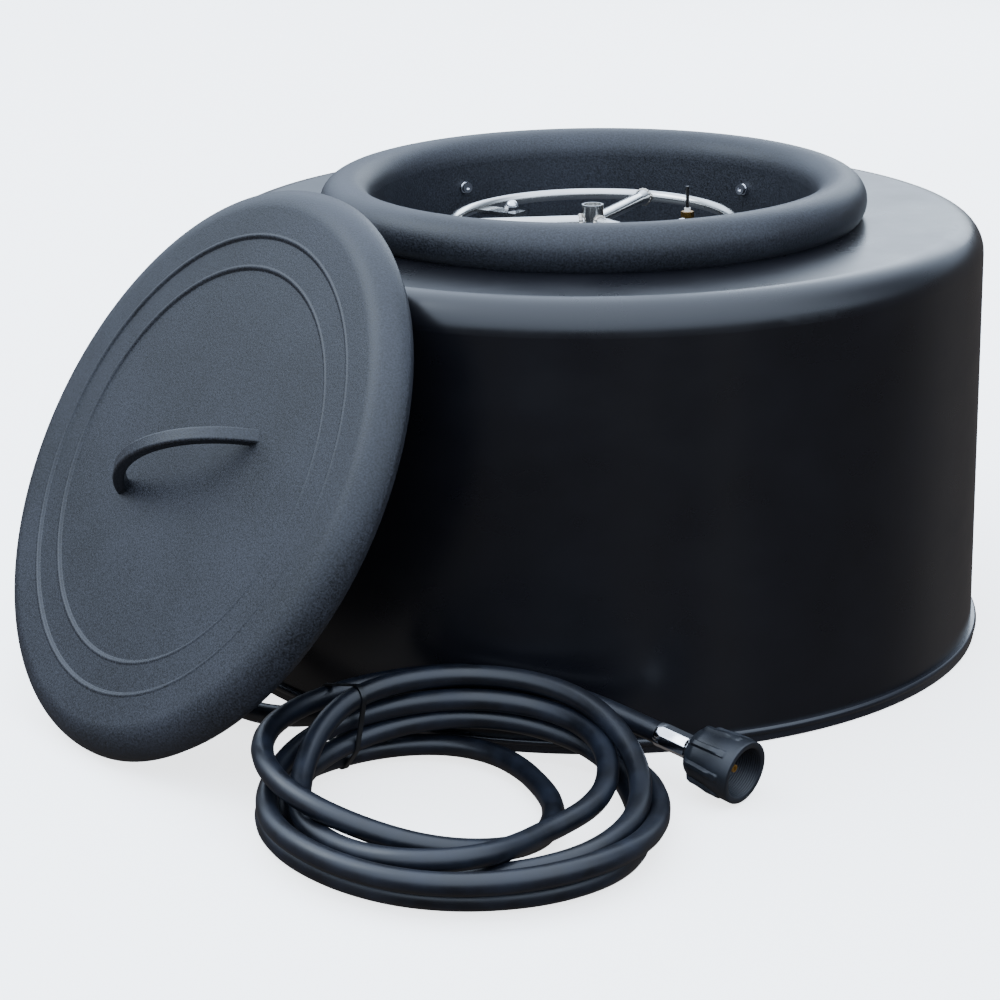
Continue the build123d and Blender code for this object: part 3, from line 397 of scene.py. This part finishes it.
# Controls on the hidden side: a knob on a round bezel, a push-button igniter, valve and regulator.
# Satin black nylon outside; the valve, regulator and pipes are die-cast and drawn aluminium.
black_nylon = moulded("satin_black_nylon", "#15171b", "#23262b", 0.42, 0.0012, 0.00006)
dress(black_nylon, "control_bezel", "bezel_seat", "control_knob", "igniter_body", "igniter_nut",
      "igniter_button")
dress(plated("die_cast_aluminium", "#a9abad", "#83868a", 0.42, 0.0025), "gas_regulator", "gas_valve")
dress(polished("drawn_aluminium_pipe", "#c4c6c8", "#a3a6a9", 0.28, 0.0008),
      "inlet_pipe", "supply_pipe", "feed_pipe")


# Lid: a shallow pressed disc with two stepped rings round its middle and a deep rolled edge.
# The same slate powder coat as the bowl; it leans on the drum's shoulder with its face to the front left.
lid_radius, lid_depth, lid_edge, lid_sheet, hem_in = 0.2203, 0.027, 0.0215, 0.0015, 0.0033
lid_rings, lid_step, step_width = (0.1765, 0.1520), 0.0015, 0.0019
lid_lip, lip_out, lip_half = 0.0004, 0.0010, 0.0018
lean, tilt = radians(53.9), radians(30.66)
lean_out = np.array([-sin(lean), -cos(lean), 0.0])
lid_level = np.array([cos(lean), -sin(lean), 0.0])
lid_normal = lean_out * cos(tilt) + np.array([0, 0, sin(tilt)])
lid_up = np.cross(lid_normal, lid_level)
lid_centre = np.array([-0.2973, -0.2373, 0.2007])


def smooth(x):
    """0 below 0, 1 above 1, and a smooth S between."""
    x = np.clip(x, 0, 1)
    return x * x * (3 - 2 * x)


def lid_skin(inset):
    """Radius and height of one skin, from the middle out.

    Flat, with a smooth step up at each ring and a low lip along it, then a quarter round and a skirt.
    """
    flat = lid_radius - lid_edge
    radius = np.unique(np.concatenate([np.linspace(0, flat, 24)] + [
        np.linspace(ring - 1.25 * step_width, ring + lip_out + 1.25 * lip_half, 24) for ring in lid_rings]))
    fall = -sum(lid_step * (1 - smooth((radius - ring) / step_width + 1.0)) for ring in lid_rings)
    for ring in lid_rings:
        fall += lid_lip * smooth(1 - np.abs(radius - ring - lip_out) / lip_half)
    bend = np.linspace(0, pi / 2, 25)[1:]
    edge = lid_edge - inset
    return (np.concatenate([radius, flat + edge * np.sin(bend), [flat + edge - hem_in]]),
            np.concatenate([fall - inset, edge * np.cos(bend) - lid_edge, [-lid_depth]]))


outer_r, outer_h = lid_skin(0.0)
inner_r, inner_h = lid_skin(lid_sheet)
hem = np.linspace(0, pi, 7)[1:-1]
hem_r = lid_radius - hem_in - lid_sheet / 2 + lid_sheet / 2 * np.cos(hem)
hem_h = -lid_depth + 0.0006 - 0.0006 * np.sin(hem)
outer_h[-1] = inner_h[-1] = -lid_depth + 0.0006
profile_r = np.concatenate([outer_r, hem_r, inner_r[::-1]])
profile_h = np.concatenate([outer_h, hem_h, inner_h[::-1]])
around = np.linspace(0, 2 * pi, 288, False)
spread = np.cos(around)[None, :, None] * lid_level + np.sin(around)[None, :, None] * lid_up
lid_points = lid_centre + profile_r[:, None, None] * spread + profile_h[:, None, None] * lid_normal
lid_piece = surface("lid_pressing", [(lid_points, False, True)], "lid", slate_powder)
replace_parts(lid_piece, "lid_shell")
dress(slate_powder, "lid_handle")


# Hose: 16 mm black rubber gas hose, from the fitting low on the drum's left to the bottle connector.
# It runs along the drum's foot, lies in five loose turns that ride up on the drum at the back,
# and is held there by a cable tie. Extruded rubber: a smooth, slightly greasy black.
hose_radius = 0.0079
coil_x, coil_y = -0.097, -0.440
inlet_out = np.array([cos(radians(192.0)), sin(radians(192.0)), 0.0])
inlet_fore = np.array([-inlet_out[1], inlet_out[0], 0.0])
elbow = inlet_out * 0.335 + np.array([0, 0, 0.034])
connector_turn, connector_dip = radians(-39.3), radians(8.1)
connector_way = np.array([cos(connector_turn) * cos(connector_dip), sin(connector_turn) * cos(connector_dip),
                          -sin(connector_dip)])
connector_start = np.array([0.0457, -0.3530, 0.0343])

tank_end = [connector_start + connector_way * 0.012, connector_start - connector_way * 0.026,
            (-0.010, -0.3175, 0.047), (-0.045, -0.3125, 0.054), (-0.075, -0.306, 0.058)]
drum_end = [elbow + inlet_fore * 0.046, elbow + inlet_fore * 0.080, (-0.300, -0.192, 0.021),
            (-0.272, -0.236, 0.0105), (-0.232, -0.262, 0.0105), (-0.190, -0.278, 0.020),
            (-0.150, -0.293, 0.033)]
# Each turn: radius and height, in millimetres, at the back and then every eighth of a turn to the left
turns = np.array([
    [(142, 59), (152, 49.5), (126, 48), (94.5, 35), (80, 21), (74, 12), (69, 9), (82, 8.5)],
    [(121, 12), (138, 8.5), (127, 9.5), (119, 8.5), (130, 8.5), (143, 10), (127, 8.5), (127, 26)],
    [(117, 35.5), (124, 22), (111, 9), (95, 8.5), (95, 8.5), (126, 19.5), (129, 30), (127, 58.5)],
    [(121, 65.5), (112, 59.5), (103, 27), (107, 23.5), (119, 30), (88, 24), (104, 29), (122, 43.5)],
    [(113, 50.5), (126, 39.5), (125, 26), (129, 26), (143, 24.5), (150, 25), (141, 17), (147, 14)],
], float).reshape(-1, 2)
last_turn = np.array([[133.0, 38.0]])
steps = 3


def coil_points(keys):
    """Catmull-Rom through the keys in radius and height, `steps` points between neighbours, turning left."""
    k = np.concatenate([keys[:1], keys, keys[-1:]])
    t = (np.arange(steps) / steps)[None, :, None]
    a, b, c, d = (k[i:len(k) - 3 + i, None, :] for i in range(4))
    path = 0.5 * (2 * b + (c - a) * t + (2 * a - 5 * b + 4 * c - d) * t ** 2 + (3 * b - a - 3 * c + d) * t ** 3)
    path = np.concatenate([path.reshape(-1, 2), keys[-1:]]) / 1000
    angle = -radians(45.0) / steps * np.arange(len(path))
    return np.stack([coil_x + path[:, 0] * np.sin(angle), coil_y + path[:, 0] * np.cos(angle), path[:, 1]], 1)


route = np.array([*tank_end, *coil_points(np.concatenate([turns, last_turn])), *drum_end[::-1]], float)
line = bpy.data.curves.new("gas_hose", "CURVE")
line.dimensions, line.resolution_u = "3D", 6
spline = line.splines.new("NURBS")
spline.points.add(len(route) - 1)
spline.points.foreach_set("co", np.concatenate([route, np.ones((len(route), 1))], 1).ravel())
spline.order_u = 3
spline.use_endpoint_u = True
line.bevel_depth, line.bevel_resolution, line.use_fill_caps = hose_radius, 5, True
hose = bpy.data.objects.new("gas_hose", line)
bpy.context.scene.collection.objects.link(hose)
hose_rubber = moulded("extruded_black_rubber", "#0b0d13", "#171c27", 0.37, 0.0018, 0.00010)
line.materials.append(hose_rubber)
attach(hose, "drum")
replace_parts(hose, "hose_coil", "hose_tank_end", "hose_drum_end")


# Cable tie: a thin nylon strap drawn tight round the strands at the back of the coil, with its
# ratchet head and cut tail turned in low against the drum.
tie_angle = radians(-38.0)
tie_out = np.array([sin(tie_angle), cos(tie_angle), 0.0])
tie_side = np.array([cos(tie_angle), -sin(tie_angle), 0.0])
bare_line = line.copy()
bare_line.bevel_depth = 0.0
bare_hose = bpy.data.objects.new("bare_hose", bare_line)
bare = bpy.data.meshes.new_from_object(bare_hose)
path = np.array([v.co for v in bare.vertices], float)
bpy.data.meshes.remove(bare)
bpy.data.objects.remove(bare_hose)
bpy.data.curves.remove(bare_line)
from_coil = path - np.array([coil_x, coil_y, 0.0])
beside = from_coil @ tie_side
crossing = np.nonzero((beside[:-1] * beside[1:] <= 0) & (from_coil[:-1] @ tie_out > 0.05)
                      & (from_coil[:-1] @ tie_out < 0.178))[0]
share = (beside[crossing] / (beside[crossing] - beside[crossing + 1]))[:, None]
strands = from_coil[crossing] * (1 - share) + from_coil[crossing + 1] * share
strands = np.stack([strands @ tie_out, strands[:, 2]], 1)
strap_width, strap_thick = 0.0042, 0.0011


def strap(clear, half_width):
    """Belt round the strands, as its outline in the tie's plane.

    Each way round, it is the furthest strand's middle plus the hose's radius and `clear`.
    """
    way = np.linspace(0, 2 * pi, 120, False)
    way = np.stack([np.cos(way), np.sin(way)], 1)
    far = strands[np.argmax(way @ strands.T, axis=1)]
    belt = far + way * (hose_radius + clear)
    return (np.array([coil_x, coil_y, 0.0]) + belt[:, :1] * tie_out + belt[:, 1:] * np.array([0, 0, 1.0])
            + half_width * tie_side)


def block(centre, axes, half, power=5.0):
    """A softly cornered block: a superellipsoid, its surface run out to `half` along each axis."""
    a, b = np.meshgrid(np.linspace(-pi / 2, pi / 2, 17), np.linspace(0, 2 * pi, 32, False), indexing="ij")
    ball = np.stack([np.cos(a) * np.cos(b), np.cos(a) * np.sin(b), np.sin(a)], -1)
    ball /= (np.abs(ball) ** power).sum(-1, keepdims=True) ** (1 / power)
    return np.asarray(centre) + (ball * half) @ np.asarray(axes)


half = strap_width / 2
slack, chamfer = 0.0001, 0.0003
belt_section = [(slack, -half), (slack + strap_thick, -half + chamfer),
                (slack + strap_thick, half - chamfer), (slack, half)]
belt_grid = np.stack([strap(clear, wide) for clear, wide in belt_section])
head_way = np.array([cos(radians(20)), -sin(radians(20))])
top = strands[np.argmax(strands @ head_way)]
head = top + head_way * (hose_radius + 0.0030)
head_at = np.array([coil_x, coil_y, 0.0]) + head[0] * tie_out + head[1] * np.array([0, 0, 1.0])
head_axes = np.stack([tie_out * head_way[1] - np.array([0, 0, head_way[0]]),
                      tie_side, tie_out * head_way[0] + np.array([0, 0, head_way[1]])])
tail_at = head_at + head_axes[2] * 0.0042 + head_axes[0] * 0.0006
tie_nylon = moulded("black_nylon_tie", "#0d0e10", "#191b1e", 0.38, 0.0009, 0.00003)
head_half, tail_half = (0.0034, 0.0037, 0.0027), (0.0007, 0.0021, 0.0055)
tie = surface("cable_tie", [(belt_grid, True, True), (block(head_at, head_axes, head_half), False, True),
                            (block(tail_at, head_axes, tail_half), False, True)],
              "drum", tie_nylon, 40)
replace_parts(tie, "hose_tie")


# Crimped ferrules: chromed steel sleeves pressed to eight flats over each end of the hose.
# Bright chrome, with a dark line along each edge between two flats.
def ferrule(name, start, way, length, radius, node_name):
    """A sleeve: round at both ends and squeezed between them to eight flats.

    On a flat, radius = flat / cos(angle from the flat's middle).
    """
    sideways = np.cross(way, [0, 0, 1.0])
    sideways /= np.linalg.norm(sideways)
    upwards = np.cross(sideways, way)
    s = np.concatenate([[0, 0, 0.0004, 0.0011], np.linspace(0.0035, 0.006, 6)])
    s = np.concatenate([s, length - s[::-1]])
    skin = np.full(len(s), radius)
    skin[[1, -2]] = radius - 0.0006
    skin[[2, -3]] = radius - 0.0002
    skin[[0, -1]] = hose_radius * 0.7
    a = np.linspace(0, 2 * pi, 96, False)
    flat = radius * 0.925 / np.cos((a + pi / 8) % (pi / 4) - pi / 8)
    squeeze = smooth((s - 0.0035) / 0.0025) * smooth((length - 0.0035 - s) / 0.0025)
    r = skin[:, None] * (1 - squeeze[:, None]) + np.minimum(flat[None, :], radius) * squeeze[:, None]
    points = (start + s[:, None, None] * way + (r * np.cos(a))[..., None] * sideways
              + (r * np.sin(a))[..., None] * upwards)
    made = surface(name, [(points, False, True)], "drum", chrome, 28)
    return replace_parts(made, node_name)


tank_sleeve = ferrule("tank_crimp_ferrule", connector_start, connector_way, 0.0325, 0.0089, "tank_ferrule")
drum_sleeve = ferrule("inlet_crimp_ferrule", elbow + inlet_fore * 0.0342, inlet_fore, 0.0278, 0.0092,
                      "inlet_ferrule")


# Bottle connector: a hand nut of glass-filled nylon with eight grip ribs that spins on a brass nipple.
# The ribs run out before the mouth; a coarse thread shows inside. Moulded, satin, near black.
wheel_back, wheel_length, bore_radius, wheel_floor = 0.0332, 0.042, 0.0184, 0.011
rib_count, rib_rise, rib_wide, rib_end = 8, 0.0026, 0.0042, 0.0352
sideways = np.array([-sin(connector_turn), cos(connector_turn), 0.0])
upwards = np.cross(connector_way, sideways)
upwards *= np.sign(upwards[2])
outer_s = np.concatenate([[0.0, 0.0006], np.linspace(0.0015, 0.008, 12), np.linspace(0.0095, 0.028, 12),
                          np.linspace(0.0287, 0.0375, 20), [0.0395, 0.0410, 0.0417, wheel_length]])
body_r = 0.0172 + 0.0024 * smooth(outer_s / 0.008) + 0.0034 * smooth((outer_s - 0.008) / 0.029)
body_r[[0, 1, -1, -2]] -= (0.0012, 0.0004, 0.0009, 0.0003)
inner_s = np.concatenate([[wheel_length], np.arange(0.0412, wheel_floor + 0.004, -0.0003),
                          [wheel_floor, wheel_floor, 0.0]])
inner_r = bore_radius + 0.00035 * np.sin(inner_s / 0.0018 * 2 * pi)
inner_r[0] = bore_radius + 0.0012
inner_r[-3:] = (bore_radius, 0.00605, 0.00605)
a = np.linspace(0, 2 * pi, 192, False)
near = np.abs((a / (2 * pi) * rib_count + 0.5) % 1 - 0.5) * 2 * pi / rib_count * 0.021
rib = 1 - smooth((near - rib_wide / 2 + 0.0006) / 0.0012)
fade = smooth((outer_s - 0.0015) / 0.004) * (1 - smooth((outer_s - rib_end + 0.0045) / 0.0045))
outer = np.minimum(body_r[:, None] + rib_rise * rib[None, :] * fade[:, None], 0.0238)
wheel_r = np.concatenate([outer, np.repeat(inner_r[:, None], len(a), 1)])
wheel_s = np.concatenate([outer_s, inner_s])
wheel_points = (connector_start + (wheel_back + wheel_s)[:, None, None] * connector_way
                + (wheel_r * np.cos(a))[..., None] * upwards + (wheel_r * np.sin(a))[..., None] * sideways)
wheel = surface("connector_handwheel", [(wheel_points, True, True)], "handwheel",
                moulded("glass_filled_nylon", "#101318", "#1d2129", 0.44, 0.0013, 0.00014), 40)
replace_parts(wheel, "tank_handwheel")

size = {"cad": cad_size, "visual": [[float(x) for x in corner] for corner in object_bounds()]}
